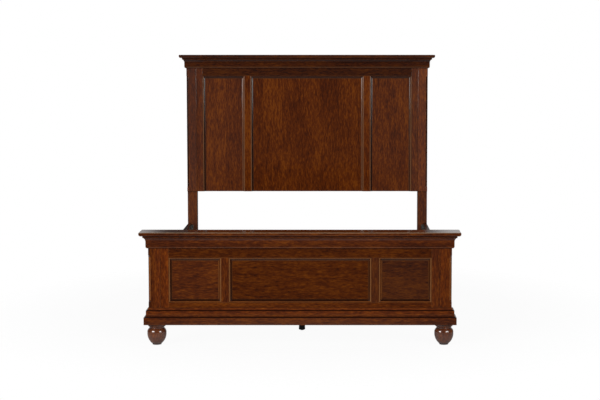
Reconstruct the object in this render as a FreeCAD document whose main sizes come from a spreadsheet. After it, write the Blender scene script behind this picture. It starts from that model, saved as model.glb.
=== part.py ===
import FreeCAD, Part
import math
import os
import Sketcher

# A queen-size panel bed: a tall three-panel headboard on two legs, a low three-panel
# footboard on turned bun feet, hook-on side rails, and three slats that stand on centre
# legs with levelling feet.  Millimetres, +Z up, -Y is the foot end, +X is on the right of
# someone who looks at the footboard.  The origin is on the floor under the bed's middle.

doc = FreeCAD.newDocument("panel_bed")
size = doc.addObject("Spreadsheet::Sheet", "size")

SIZES = {
    # plan
    "bed_width": 1650,
    "post_width": 65,
    "foot_post_depth": 90,
    "head_leg_depth": 62,
    "pilaster_thickness": 20,
    "rail_length": 2061,
    # heights above the floor
    "headboard_height": 1568,
    "footboard_height": 624.5,
    "headboard_bottom": 632,
    "footboard_bottom": 116.5,
    # panelled frames
    "head_top_rail_height": 121.5,
    "foot_top_rail_height": 121,
    "foot_bottom_rail_height": 119.5,
    "frame_thickness": 26,
    "stile_width": 45,
    "mullion_width": 41,
    "centre_opening": 775,
    "panel_recess": 12,
    "panel_thickness": 8,
    "groove_depth": 8,
    "panel_play": 1,
    "eased_edge": 2,
    "back_rail_height": 100,
    "back_rail_thickness": 22,
    # moulding around the panels
    "bead_width": 18.5,
    "bead_reveal": 1.5,
    "bead_flat": 2.5,
    "bead_round": 5,
    "bead_cove_radius": 12,
    "bead_edge": 0.5,
    # cap boards
    "cap_thickness": 21,
    "cap_projection": 46,
    "cap_back_overhang": 2,
    "cap_nose_radius": 12,
    "cap_top_radius": 3,
    # crown moulding under the caps
    "fillet_projection": 27,
    "fillet_height": 10,
    "cove_projection": 24,
    "cove_height": 22,
    "cove_radius": 27,
    "band_projection": 12.5,
    "band_height": 26,
    "crown_round": 11.5,
    # two tiers of base moulding on the footboard
    "plinth_projection": 25.5,
    "plinth_height": 54.5,
    "base_projection": 14.2,
    "base_height": 37,
    "base_step": 3,
    "base_cove_reach": 8,
    "base_cove_height": 14,
    "base_cove_radius": 18,
    # stopped bead cut on the outer front corners
    "corner_cut": 12,
    "corner_quirk": 3,
    "corner_run_out": 5,
    "head_cut_above_end": 40,
    "head_cut_below_crown": 64,
    "foot_cut_above_base": 45,
    "foot_cut_below_crown": 52,
    # bun feet
    "bun_inset": 39,
    "bun_pad_radius": 24.5,
    "bun_pad_height": 7,
    "bun_bowl_radius": 28,
    "bun_bowl_bend": 72,
    "bun_belly_radius": 52,
    "bun_belly_height": 66,
    "bun_shoulder_bend": 27,
    "bun_neck_radius": 40.4,
    "bun_neck_height": 91.5,
    "bun_neck_bend": 10,
    "bun_collar_radius": 47.7,
    "bun_collar_height": 102.5,
    "hanger_bolt_radius": 4,
    "hanger_bolt_in_bun": 45,
    "hanger_bolt_in_post": 40,
    # side rails, ledges and slats
    "rail_top": 408,
    "rail_height": 213,
    "rail_thickness": 22,
    "rail_edge_radius": 3,
    "ledge_top": 245,
    "ledge_height": 30,
    "ledge_width": 25,
    "ledge_end_gap": 105,
    "slat_width": 90,
    "slat_thickness": 19,
    "slat_end_gap": 3,
    "slat_edge_radius": 2,
    "slat_end_distance": 346,
    # hook plates on the rails and socket plates in the posts
    "plate_thickness": 3,
    "hook_plate_length": 90,
    "hook_plate_height": 150,
    "hook_plate_drop": 9,
    "hook_height": 18,
    "hook_reach": 10,
    "hook_lip": 8,
    "hook_play": 0.5,
    "hook_end_room": 2,
    "hook_end_distance": 30,
    "socket_plate_width": 30,
    "plate_screw_inset": 20,
    # screws and bolts
    "screw_radius": 2,
    "screw_head_radius": 4,
    "screw_head_height": 2.4,
    "plate_screw_length": 16,
    "slat_screw_length": 38,
    "leg_bolt_radius": 4,
    "leg_bolt_head_radius": 8,
    "leg_bolt_head_height": 4,
    "leg_bolt_length": 70,
    # centre legs and their levelling feet
    "centre_leg_width": 35,
    "centre_leg_radius": 3,
    "pad_height": 34,
    "pad_top_radius": 17,
    "pad_rim_radius": 18.5,
    "pad_rim_height": 7,
    "pad_cone_height": 5,
    "pad_tip_radius": 7,
    "socket_floor": 20,
    "stud_radius": 4,
    "stud_disc_radius": 8,
    "stud_disc_height": 5.4,
    "stud_hex_radius": 7.5,
    "stud_hex_height": 4,
    "stud_in_leg": 25,
    "screw_in_travel": 3,
    "running_gap": 0.3,
}

for row, (alias, value) in enumerate(SIZES.items(), start=1):
    size.set(f"A{row}", alias.replace("_", " "))
    size.set(f"B{row}", str(value))
    size.setAlias(f"B{row}", alias)
doc.recompute()

# ---------------------------------------------------------------- shared lines and planes

# Distances out from the middle, alike on both sides.
HALF_BED = "size.bed_width / 2"
POST_INNER = f"({HALF_BED} - size.post_width)"
STILE_INNER = f"({POST_INNER} - size.stile_width)"
CENTRE_EDGE = "size.centre_opening / 2"
MULLION_OUTER = f"({CENTRE_EDGE} + size.mullion_width)"
RAIL_INNER = f"({HALF_BED} - size.rail_thickness)"
PLATE_INNER = f"({RAIL_INNER} - size.plate_thickness)"
PLATE_MIDDLE = f"({RAIL_INNER} - size.plate_thickness / 2)"
LEDGE_INNER = f"({RAIL_INNER} - size.ledge_width)"
BUN_X = f"({HALF_BED} - size.bun_inset)"

# Planes along the bed, from the foot end to the head end.
BED_LENGTH = "(size.cap_projection + size.foot_post_depth + size.rail_length + size.head_leg_depth)"
FOOT_FACE = f"(size.cap_projection - {BED_LENGTH} / 2)"
FOOT_BACK = f"({FOOT_FACE} + size.foot_post_depth)"
LEG_FACE = f"({FOOT_BACK} + size.rail_length)"
HEAD_FACE = f"({LEG_FACE} - size.pilaster_thickness)"
HEAD_BACK = f"({BED_LENGTH} / 2)"
RAIL_MIDDLE = f"(({FOOT_BACK} + {LEG_FACE}) / 2)"
BUN_Y = f"({FOOT_FACE} + size.bun_inset)"

# Heights.
HEAD_CAP_BASE = "(size.headboard_height - size.cap_thickness)"
FOOT_CAP_BASE = "(size.footboard_height - size.cap_thickness)"
HEAD_OPENING_TOP = f"({HEAD_CAP_BASE} - size.head_top_rail_height)"
FOOT_OPENING_TOP = f"({FOOT_CAP_BASE} - size.foot_top_rail_height)"
FOOT_OPENING_BOTTOM = "(size.footboard_bottom + size.foot_bottom_rail_height)"
CROWN_HEIGHT = "(size.fillet_height + size.cove_height + size.band_height + size.crown_round)"
PLINTH_TOP = "(size.footboard_bottom + size.plinth_height)"
BASE_TOP = f"({PLINTH_TOP} + size.base_height)"
RAIL_BOTTOM = "(size.rail_top - size.rail_height)"
SLAT_TOP = "(size.ledge_top + size.slat_thickness)"
PLATE_TOP = "(size.rail_top - size.hook_plate_drop)"
PLATE_BOTTOM = f"({PLATE_TOP} - size.hook_plate_height)"
LOW_HOOK = f"({PLATE_BOTTOM} + size.hook_end_distance)"
HIGH_HOOK = f"({PLATE_TOP} - size.hook_end_distance - size.hook_height)"
SOCKET_TOP = "(size.socket_floor + size.stud_disc_height + 2 * size.running_gap)"
HEX_BOTTOM = "(size.pad_height + size.running_gap)"
LEG_BOTTOM = f"({HEX_BOTTOM} + size.stud_hex_height + size.screw_in_travel + size.running_gap)"

SIDES = ("left", "right")
AXES = {
    "x": FreeCAD.Vector(1, 0, 0),
    "y": FreeCAD.Vector(0, 1, 0),
    "z": FreeCAD.Vector(0, 0, 1),
}
UP = AXES["z"]
DOWN = -UP
RIGHT = AXES["x"]
LEFT = -RIGHT
BACK = AXES["y"]
FRONT = -BACK

pieces = {}


# ---------------------------------------------------------------- helpers


def number(expression):
    """What an expression over the sheet comes to, in millimetres."""
    return float(size.evalExpression(expression))


def point(x, y, z):
    """A point from three expressions."""
    return FreeCAD.Vector(number(x), number(y), number(z))


def place(thing, x, y, z):
    """Ties the place of a thing to three expressions."""
    thing.setExpression("Placement.Base.x", x)
    thing.setExpression("Placement.Base.y", y)
    thing.setExpression("Placement.Base.z", z)


def across(side, inner, outer):
    """The left and right limits of a piece that lies between two distances from the middle."""
    if side == "left":
        return (f"-({outer})", f"-({inner})")
    return (inner, outer)


def mirrored(side, distance):
    """A distance from the middle as an X place on one side."""
    return f"-({distance})" if side == "left" else distance


def block(name, x, y, z):
    """A squared piece between two limits on each axis."""
    box = doc.addObject("Part::Box", name)
    for prop, (low, high) in {"Length": x, "Width": y, "Height": z}.items():
        box.setExpression(prop, f"({high}) - ({low})")
    place(box, x[0], y[0], z[0])
    return box


def cut(name, base, *tools):
    """The base with each tool taken away in turn."""
    for step, tool in enumerate(tools, start=1):
        result = doc.addObject("Part::Cut", f"{name}_cut_{step}")
        result.Base = base
        result.Tool = tool
        base = result
    return base


def join(name, base, *additions):
    """The base and its tenons as one solid."""
    for step, addition in enumerate(additions, start=1):
        result = doc.addObject("Part::Fuse", f"{name}_join_{step}")
        result.Base = base
        result.Tool = addition
        result.Refine = True
        base = result
    return base


def rounded(name, base, radius, *picks):
    """Rounds straight edges, each picked by its direction and by the place of its middle."""
    doc.recompute()
    bend = number(radius)
    chosen = []
    straight = [
        (index, edge) for index, edge in enumerate(base.Shape.Edges, start=1)
        if isinstance(edge.Curve, Part.Line)
    ]
    for axis, places in picks:
        wanted = {letter: number(expression) for letter, expression in places.items()}
        for index, edge in straight:
            along = abs(edge.Curve.Direction.dot(AXES[axis])) > 0.999
            if along and all(abs(getattr(edge.CenterOfMass, a) - v) < 0.01 for a, v in wanted.items()):
                chosen.append((index, bend, bend))
    if len(chosen) != len(picks):
        raise ValueError(f"{name}: {len(chosen)} edges found for {len(picks)} picks")
    rounding = doc.addObject("Part::Fillet", f"{name}_rounded")
    rounding.Base = base
    rounding.Edges = chosen
    return rounding


def own_plane(body, role):
    """The origin plane of a body with a given role, such as XY_Plane."""
    return next(feature for feature in body.Origin.OriginFeatures if feature.Role == role)


def outline(body, role, corners, name):
    """A closed sketch on an origin plane of the body.

    A corner is (u, v), or (u, v, turn, radius) where the edge that ends there is an arc
    that turns left or right on its way round.
    """
    sketch = body.newObject("Sketcher::SketchObject", name)
    sketch.AttachmentSupport = [(own_plane(body, role), "")]
    sketch.MapMode = "FlatFace"
    spots = [FreeCAD.Vector(number(corner[0]), number(corner[1]), 0) for corner in corners]
    ends = []
    arcs = []
    for index, corner in enumerate(corners):
        start = spots[index - 1]
        end = spots[index]
        if len(corner) == 2:
            sketch.addGeometry(Part.LineSegment(start, end), False)
            ends.append((1, 2))
            continue
        left = corner[2] == "left"
        chord = end - start
        normal = FreeCAD.Vector(-chord.y, chord.x, 0).normalize()
        reach = math.sqrt(number(corner[3]) ** 2 - (chord.Length / 2) ** 2)
        centre = (start + end) * 0.5 + normal * (reach if left else -reach)
        first, last = (start, end) if left else (end, start)
        begin = math.atan2(first.y - centre.y, first.x - centre.x)
        finish = math.atan2(last.y - centre.y, last.x - centre.x)
        circle = Part.Circle(centre, UP, number(corner[3]))
        sketch.addGeometry(Part.ArcOfCircle(circle, begin, finish), False)
        ends.append((1, 2) if left else (2, 1))
        arcs.append((index, corner[3]))
    for index in range(len(corners)):
        following = (index + 1) % len(corners)
        join_ends = Sketcher.Constraint("Coincident", index, ends[index][1], following, ends[following][0])
        sketch.addConstraint(join_ends)
    for index, corner in enumerate(corners):
        tip = ends[index][1]
        for kind, place_on_axis, expression in (
            ("DistanceX", spots[index].x, corner[0]),
            ("DistanceY", spots[index].y, corner[1]),
        ):
            row = sketch.addConstraint(Sketcher.Constraint(kind, -1, 1, index, tip, place_on_axis))
            sketch.setExpression(f"Constraints[{row}]", expression)
    for index, radius in arcs:
        row = sketch.addConstraint(Sketcher.Constraint("Radius", index, number(radius)))
        sketch.setExpression(f"Constraints[{row}]", radius)
    return sketch


def turned(name, corners):
    """A body turned on the lathe: the corners are (radius, height) on one side of its axis."""
    body = doc.addObject("PartDesign::Body", name)
    sketch = outline(body, "XZ_Plane", corners, f"{name}_section")
    turning = body.newObject("PartDesign::Revolution", f"{name}_turning")
    turning.Profile = sketch
    turning.ReferenceAxis = (sketch, ["V_Axis"])
    return body


def padded(body, sketch, length, name, both_ways=False):
    pad = body.newObject("PartDesign::Pad", name)
    pad.Profile = sketch
    pad.setExpression("Length", length)
    if both_ways:
        pad.SideType = "Symmetric"
    return pad


def mitre(body, name, widest, foot, away, inside):
    """Saws one end of a moulding at 45 degrees.

    foot is the length at which the cut meets the back of the moulding, and away is +1 or -1
    for the end of the moulding that the waste is on.  An inside mitre leans the other way.
    """
    lean = -away if inside else away
    over = f"({widest} + 1)"
    corners = [
        ("-1", f"{foot} - ({lean})"),
        (over, f"{foot} + ({lean}) * {over}"),
        (over, f"{foot} + ({away})") if inside else ("-1", f"{foot} + ({away}) * {over}"),
    ]
    sketch = outline(body, "XZ_Plane", corners, f"{name}_line")
    saw = body.newObject("PartDesign::Pocket", name)
    saw.Profile = sketch
    saw.Type = "ThroughAll"
    saw.SideType = "Symmetric"
    return saw


def moulding(name, section, widest, length, ends, directions, origin):
    """A straight length of moulding with a mitred or square end at each end.

    section: corners (u, v), u out from the back of the moulding, v up its height
    widest:  the largest u
    length:  measured along the back of the moulding, where u is 0
    ends:    "outside", "inside" or "square", for the start and for the finish
    """
    body = doc.addObject("PartDesign::Body", name)
    sketch = outline(body, "XY_Plane", section, f"{name}_section")
    before = widest if ends[0] == "outside" else "0"
    after = widest if ends[1] == "outside" else "0"
    sketch.AttachmentOffset = FreeCAD.Placement()
    sketch.setExpression("AttachmentOffset.Base.z", f"-({before})")
    padded(body, sketch, f"{length} + {before} + {after}", f"{name}_run")
    if ends[0] != "square":
        mitre(body, f"{name}_start", widest, "0", -1, ends[0] == "inside")
    if ends[1] != "square":
        mitre(body, f"{name}_finish", widest, length, 1, ends[1] == "inside")
    outward, upward = directions
    along = outward.cross(upward)
    body.Placement = FreeCAD.Placement(FreeCAD.Vector(), FreeCAD.Rotation(outward, upward, along, "XYZ"))
    place(body, *origin)
    return body


def keep(name, piece):
    """Hands a finished piece in under its own name."""
    piece.Label = name
    pieces[name] = piece


def keep_group(name, members):
    """Hands several separate solids in under one name."""
    doc.recompute()
    group = doc.addObject("Part::Feature", name)
    group.Shape = Part.makeCompound([member.Shape for member in members])
    keep(name, group)
    return group


def keep_fasteners(name, pattern, places):
    """One node for all copies of a fastener: each place is a point and the way its head faces."""
    doc.recompute()
    copies = []
    for spot, head_direction in places:
        copy = pattern.Shape.copy()
        copy.Placement = FreeCAD.Placement(spot, FreeCAD.Rotation(UP, head_direction))
        copies.append(copy)
    group = doc.addObject("Part::Feature", name)
    group.Shape = Part.makeCompound(copies)
    keep(name, group)
    return group


# ---------------------------------------------------------------- screws and bolts


def countersunk(name, radius, head_radius, head_height, length):
    """A flat-head screw that hangs down from its head, whose top is at height 0."""
    return turned(name, [
        ("0", f"-{length}"),
        (radius, f"-{length}"),
        (radius, f"-{head_height}"),
        (head_radius, "0"),
        ("0", "0"),
    ])


plate_screw = countersunk(
    "plate_screw", "size.screw_radius", "size.screw_head_radius", "size.screw_head_height",
    "size.plate_screw_length")
slat_screw = countersunk(
    "slat_screw", "size.screw_radius", "size.screw_head_radius", "size.screw_head_height",
    "size.slat_screw_length")
leg_bolt = countersunk(
    "leg_bolt", "size.leg_bolt_radius", "size.leg_bolt_head_radius", "size.leg_bolt_head_height",
    "size.leg_bolt_length")

# The two ends of a rail: the face of the post there, and the way the rail leaves it.
RAIL_ENDS = {"foot": (FOOT_BACK, BACK), "head": (LEG_FACE, FRONT)}
HOOK_SCREW_SPOTS = [
    (along, height)
    for along in ("size.plate_screw_inset", "(size.hook_plate_length - size.plate_screw_inset)")
    for height in (f"({PLATE_BOTTOM} + size.plate_screw_inset)", f"({PLATE_TOP} - size.plate_screw_inset)")
]
SOCKET_SCREW_HEIGHTS = (
    f"({PLATE_BOTTOM} + size.hook_end_distance / 3)",
    f"(({PLATE_BOTTOM} + {PLATE_TOP}) / 2)",
    f"({PLATE_TOP} - size.hook_end_distance / 3)",
)

plate_screw_places = []
for side in SIDES:
    for plane, leaving in RAIL_ENDS.values():
        sign = "+" if leaving == BACK else "-"
        for along, height in HOOK_SCREW_SPOTS:
            spot = point(mirrored(side, PLATE_INNER), f"{plane} {sign} {along}", height)
            plate_screw_places.append((spot, RIGHT if side == "left" else LEFT))
        for height in SOCKET_SCREW_HEIGHTS:
            plate_screw_places.append((point(mirrored(side, PLATE_MIDDLE), plane, height), leaving))
plate_screws = keep_fasteners("plate_screws", plate_screw, plate_screw_places)

SLAT_PLACES = {
    1: f"({FOOT_BACK} + size.slat_end_distance)",
    2: RAIL_MIDDLE,
    3: f"({LEG_FACE} - size.slat_end_distance)",
}
LEDGE_MIDDLE = f"({RAIL_INNER} - size.ledge_width / 2)"
slat_screw_places = [
    (point(mirrored(side, LEDGE_MIDDLE), f"{middle} {sign} size.slat_width / 4", SLAT_TOP), UP)
    for middle in SLAT_PLACES.values()
    for side in SIDES
    for sign in "+-"
]
slat_screws = keep_fasteners("slat_screws", slat_screw, slat_screw_places)
leg_bolts = keep_fasteners(
    "leg_bolts", leg_bolt, [(point("0", middle, SLAT_TOP), UP) for middle in SLAT_PLACES.values()])

hanger_bolt = turned("hanger_bolt", [
    ("0", "size.footboard_bottom - size.hanger_bolt_in_bun"),
    ("size.hanger_bolt_radius", "size.footboard_bottom - size.hanger_bolt_in_bun"),
    ("size.hanger_bolt_radius", "size.footboard_bottom + size.hanger_bolt_in_post"),
    ("0", "size.footboard_bottom + size.hanger_bolt_in_post"),
])
hanger_bolts = keep_fasteners(
    "hanger_bolts", hanger_bolt, [(point(mirrored(side, BUN_X), BUN_Y, "0"), UP) for side in SIDES])

# ---------------------------------------------------------------- hook plates and sockets

# The plate lies on the inner face of the rail and carries two hooks past the rail's end.
# Its outline has u along the rail, with the end of the rail at 0, and v up.
HOOKED_OUTLINE = [
    ("0", PLATE_BOTTOM),
    ("size.hook_plate_length", PLATE_BOTTOM),
    ("size.hook_plate_length", PLATE_TOP),
    ("0", PLATE_TOP),
]
for low in (HIGH_HOOK, LOW_HOOK):
    HOOKED_OUTLINE += [
        ("0", f"{low} + size.hook_height"),
        ("-size.hook_reach", f"{low} + size.hook_height"),
        ("-size.hook_reach", f"{low} - size.hook_lip"),
        ("-size.plate_thickness - size.hook_play", f"{low} - size.hook_lip"),
        ("-size.plate_thickness - size.hook_play", low),
        ("0", low),
    ]

hook_body = doc.addObject("PartDesign::Body", "hook_plate")
hook_sketch = outline(hook_body, "XZ_Plane", HOOKED_OUTLINE, "hook_plate_outline")
padded(hook_body, hook_sketch, "size.plate_thickness", "hook_plate_sheet", both_ways=True)
doc.recompute()


def hook_plate(side, end):
    """One hook plate in its place, with its screw holes."""
    plane, leaving = RAIL_ENDS[end]
    plate = doc.addObject("Part::Feature", f"hook_plate_{end}_{side}")
    shape = hook_body.Shape.copy()
    spot = point(mirrored(side, PLATE_MIDDLE), plane, "0")
    shape.Placement = FreeCAD.Placement(spot, FreeCAD.Rotation(RIGHT, leaving))
    plate.Shape = shape
    return cut(f"hook_plate_{end}_{side}_drilled", plate, plate_screws)


def into_post(end, depth):
    """The limits along the bed of what is let into the face of a post to some depth."""
    plane = RAIL_ENDS[end][0]
    return (f"{plane} - {depth}", plane) if end == "foot" else (plane, f"{plane} + {depth}")


def around_plate(side, half_width):
    """The limits across the bed of what is centred on a hook plate."""
    return across(side, f"{PLATE_MIDDLE} - {half_width}", f"{PLATE_MIDDLE} + {half_width}")


def slots(name, side, end, depth):
    """Two slots in a post's face for the hooks, each a little larger than its hook."""
    x = around_plate(side, "(size.plate_thickness / 2 + size.hook_play)")
    return [
        block(f"{name}_slot_{step}", x, into_post(end, depth), (
            f"{low} - size.hook_lip - size.hook_play",
            f"{low} + size.hook_height + size.hook_lip"))
        for step, low in enumerate((LOW_HOOK, HIGH_HOOK), start=1)
    ]


def socket_blank(name, side, end):
    """The plate let into the post's face behind the rail's end."""
    x = around_plate(side, "size.socket_plate_width / 2")
    return block(name, x, into_post(end, "size.plate_thickness"), (PLATE_BOTTOM, PLATE_TOP))


def let_in(name, post, side, end):
    """A post with the recess, the slots and the screw holes of its socket plate."""
    recess = socket_blank(f"{name}_recess", side, end)
    pockets = slots(name, side, end, "(size.hook_reach + size.hook_end_room)")
    return cut(f"{name}_let_in", post, recess, *pockets, plate_screws)


hook_plates = []
socket_plates = []
for side in SIDES:
    for end in RAIL_ENDS:
        name = f"socket_{end}_{side}"
        hook_plates.append(hook_plate(side, end))
        blank = socket_blank(name, side, end)
        openings = slots(name, side, end, "size.plate_thickness")
        socket_plates.append(cut(f"{name}_plate", blank, *openings, plate_screws))
keep_group("rail_hook_plates", hook_plates)
keep_group("post_socket_plates", socket_plates)

# ---------------------------------------------------------------- panelled frames


def groove(name, face, x, z):
    """The groove that holds the panels, as a block to cut with or a tongue to add."""
    y = (f"{face} + size.panel_recess", f"{face} + size.panel_recess + size.panel_thickness")
    return block(name, x, y, z)


def eased(name, piece, face, sides_of_piece, height):
    """The upright front edges of a piece, eased where two pieces meet in a fine V."""
    return rounded(name, piece, "size.eased_edge", *[
        ("z", {"x": x, "y": face, "z": height}) for x in sides_of_piece])


def stub_limits(side):
    """How far a rail's stub tenon, and the stile's groove for it, reach into the stile."""
    return across(side, STILE_INNER, f"{STILE_INNER} + size.groove_depth")


def stile(board, side, face, z):
    """Upright between a post and the outer panel."""
    name = f"{board}_stile_{side}"
    y = (face, f"{face} + size.frame_thickness")
    x = across(side, STILE_INNER, POST_INNER)
    blank = block(f"{name}_blank", x, y, z)
    outer = mirrored(side, POST_INNER)
    front_edge = eased(name, blank, face, [outer], f"({z[0]} + {z[1]}) / 2")
    channel = groove(f"{name}_groove", face, stub_limits(side), z)
    keep(name, cut(name, front_edge, channel))


def cross_rail(board, which, face, z, groove_z):
    """Rail between the stiles, with a stub tenon on each end and a groove for the panels."""
    name = f"{board}_{which}_rail"
    y = (face, f"{face} + size.frame_thickness")
    blank = block(f"{name}_blank", (f"-{STILE_INNER}", STILE_INNER), y, z)
    channel = groove(f"{name}_groove", face, (f"-{STILE_INNER}", STILE_INNER), groove_z)
    low, high = z
    tenon_z = (groove_z[1], high) if groove_z[0] == low else (low, groove_z[0])
    tenons = [groove(f"{name}_tenon_{side}", face, stub_limits(side), tenon_z) for side in SIDES]
    keep(name, join(name, cut(name, blank, channel), *tenons))


def mullion(board, side, face, z, tenon_ends):
    """Upright between two panels, grooved on both edges, with stub tenons into the rails."""
    name = f"{board}_mullion_{side}"
    y = (face, f"{face} + size.frame_thickness")
    blank = block(f"{name}_blank", across(side, CENTRE_EDGE, MULLION_OUTER), y, z)
    inner_groove = groove(
        f"{name}_groove_in", face, across(side, CENTRE_EDGE, f"{CENTRE_EDGE} + size.groove_depth"), z)
    outer_groove = groove(
        f"{name}_groove_out", face, across(side, f"{MULLION_OUTER} - size.groove_depth", MULLION_OUTER), z)
    core = across(side, f"{CENTRE_EDGE} + size.groove_depth", f"{MULLION_OUTER} - size.groove_depth")
    tenons = [
        groove(f"{name}_tenon_{step}", face, core, limits) for step, limits in enumerate(tenon_ends, start=1)]
    keep(name, join(name, cut(name, blank, inner_groove, outer_groove), *tenons))


TONGUE = "(size.groove_depth - size.panel_play)"
OPENINGS = {
    "left": (f"-{STILE_INNER}", f"-{MULLION_OUTER}"),
    "centre": (f"-{CENTRE_EDGE}", CENTRE_EDGE),
    "right": (MULLION_OUTER, STILE_INNER),
}


def panel(board, bay, face, z):
    """Flat panel that floats in the grooves around its opening."""
    left, right = OPENINGS[bay]
    x = (f"{left} - {TONGUE}", f"{right} + {TONGUE}")
    keep(f"{board}_panel_{bay}", groove(f"{board}_panel_{bay}_board", face, x, z))


BEAD_STEP = "(size.bead_reveal + size.bead_round)"
BEAD_SECTION = [
    ("0", "-size.panel_recess"),
    ("size.bead_width", "-size.panel_recess"),
    ("size.bead_width", "-size.panel_recess + size.bead_edge"),
    ("size.bead_flat + size.bead_round", f"-{BEAD_STEP}", "right", "size.bead_cove_radius"),
    ("size.bead_flat", "-size.bead_reveal", "left", "size.bead_round"),
    ("0", "-size.bead_reveal"),
]


def bead(board, bay, face, z, closed):
    """Ogee moulding planted around a panel, mitred at the corners.

    The headboard's has no bottom length: its uprights run to the bottom edge of the board.
    """
    name = f"{board}_bead_{bay}"
    left, right = OPENINGS[bay]
    low, high = z
    width = f"({right} - ({left}))"
    height = f"({high} - {low})"
    foot = "inside" if closed else "square"
    runs = [
        ("left", height, ("inside", foot), (RIGHT, FRONT), (left, face, high)),
        ("right", height, (foot, "inside"), (LEFT, FRONT), (right, face, low)),
        ("top", width, ("inside", "inside"), (DOWN, FRONT), (right, face, high)),
    ]
    if closed:
        runs.append(("bottom", width, ("inside", "inside"), (UP, FRONT), (left, face, low)))
    keep_group(name, [
        moulding(f"{name}_{where}", BEAD_SECTION, "size.bead_width", length, ends, directions, origin)
        for where, length, ends, directions, origin in runs
    ])


# ---------------------------------------------------------------- mouldings around a board


def wrapped(name, section, widest, face, back, height):
    """A moulding that wraps the front and both sides of a board, in three mitred lengths."""
    depth = f"({back} - {face})"
    front = moulding(
        f"{name}_front", section, widest, "size.bed_width", ("outside", "outside"),
        (FRONT, UP), (HALF_BED, face, height))
    left = moulding(
        f"{name}_left", section, widest, depth, ("outside", "square"),
        (LEFT, UP), (f"-({HALF_BED})", face, height))
    right = moulding(
        f"{name}_right", section, widest, depth, ("square", "outside"),
        (RIGHT, UP), (HALF_BED, back, height))
    keep_group(name, [front, left, right])


CROWN_SECTION = [
    ("0", f"-{CROWN_HEIGHT}"),
    ("size.band_projection - size.crown_round", f"-{CROWN_HEIGHT}"),
    ("size.band_projection", f"-{CROWN_HEIGHT} + size.crown_round", "left", "size.crown_round"),
    ("size.band_projection", "-size.fillet_height - size.cove_height"),
    ("size.cove_projection", "-size.fillet_height", "right", "size.cove_radius"),
    ("size.fillet_projection", "-size.fillet_height"),
    ("size.fillet_projection", "0"),
    ("0", "0"),
]


def tier(projection, height, set_back):
    """Section of one tier of the base: a flat face, a small step and a cove up to the next."""
    return [
        ("0", "0"),
        (projection, "0"),
        (projection, f"{height} - size.base_cove_height"),
        (f"{projection} - size.base_step", f"{height} - size.base_cove_height"),
        (set_back, height, "right", "size.base_cove_radius"),
        ("0", height),
    ]


def cap(board, face, back, base):
    """The board on top, rounded under its nose on the front and both ends."""
    name = f"{board}_cap"
    front = f"{face} - size.cap_projection"
    left = f"-({HALF_BED}) - size.cap_projection"
    right = f"{HALF_BED} + size.cap_projection"
    top = f"{base} + size.cap_thickness"
    blank = block(f"{name}_blank", (left, right), (front, back), (base, top))
    nosed = rounded(
        f"{name}_nose", blank, "size.cap_nose_radius",
        ("x", {"y": front, "z": base}), ("y", {"x": left, "z": base}), ("y", {"x": right, "z": base}))
    keep(name, rounded(
        f"{name}_top", nosed, "size.cap_top_radius",
        ("x", {"y": front, "z": top}), ("y", {"x": left, "z": top}), ("y", {"x": right, "z": top})))


# ---------------------------------------------------------------- stopped corner cut


def corner_cutter(name, side, face, z):
    """The waste of the stopped chamfer: a sunk 45-degree flat that runs out at both ends.

    In the body's own frame the corner of the post is at 0, with wood towards +u and +v.
    The run-outs are turned about a line outside the corner, as a round cutter leaves them.
    """
    body = doc.addObject("PartDesign::Body", name)
    section = [
        ("-1", "-1"),
        ("size.corner_cut", "-1"),
        ("size.corner_cut", "size.corner_quirk"),
        ("size.corner_quirk", "size.corner_cut"),
        ("-1", "size.corner_cut"),
    ]
    straight = f"({z[1]} - ({z[0]}))"
    sketch = outline(body, "XY_Plane", section, f"{name}_section")
    padded(body, sketch, straight, f"{name}_flat")
    for end, height, downward in (("foot", "0", True), ("head", straight, False)):
        ring = outline(body, "XY_Plane", section, f"{name}_{end}_section")
        ring.AttachmentOffset = FreeCAD.Placement()
        ring.setExpression("AttachmentOffset.Base.z", height)
        out = "(size.corner_run_out * sqrt(2))"
        pivot = ring.addGeometry(
            Part.LineSegment(FreeCAD.Vector(-number(out), 0, 0), FreeCAD.Vector(0, -number(out), 0)), True)
        for tip, kind, expression in (
            (1, "DistanceX", f"-{out}"),
            (1, "DistanceY", "0"),
            (2, "DistanceX", "0"),
            (2, "DistanceY", f"-{out}"),
        ):
            row = ring.addConstraint(Sketcher.Constraint(kind, -1, 1, pivot, tip, number(expression)))
            ring.setExpression(f"Constraints[{row}]", expression)
        turn = body.newObject("PartDesign::Revolution", f"{name}_{end}_run_out")
        turn.Profile = ring
        turn.ReferenceAxis = (ring, ["Axis0"])
        turn.Angle = 90
        turn.Reversed = downward
    body.Placement = FreeCAD.Placement(FreeCAD.Vector(), FreeCAD.Rotation(UP, 0 if side == "left" else 90))
    place(body, mirrored(side, HALF_BED), face, z[0])
    return body


# ---------------------------------------------------------------- headboard

HEAD_FRAME = ("size.headboard_bottom", HEAD_CAP_BASE)
HEAD_OPENING = ("size.headboard_bottom", HEAD_OPENING_TOP)
HEAD_RAIL_GROOVE = (HEAD_OPENING_TOP, f"{HEAD_OPENING_TOP} + size.groove_depth")
HEAD_CUT = (
    "size.headboard_bottom + size.head_cut_above_end",
    f"{HEAD_CAP_BASE} - {CROWN_HEIGHT} - size.head_cut_below_crown",
)

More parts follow.
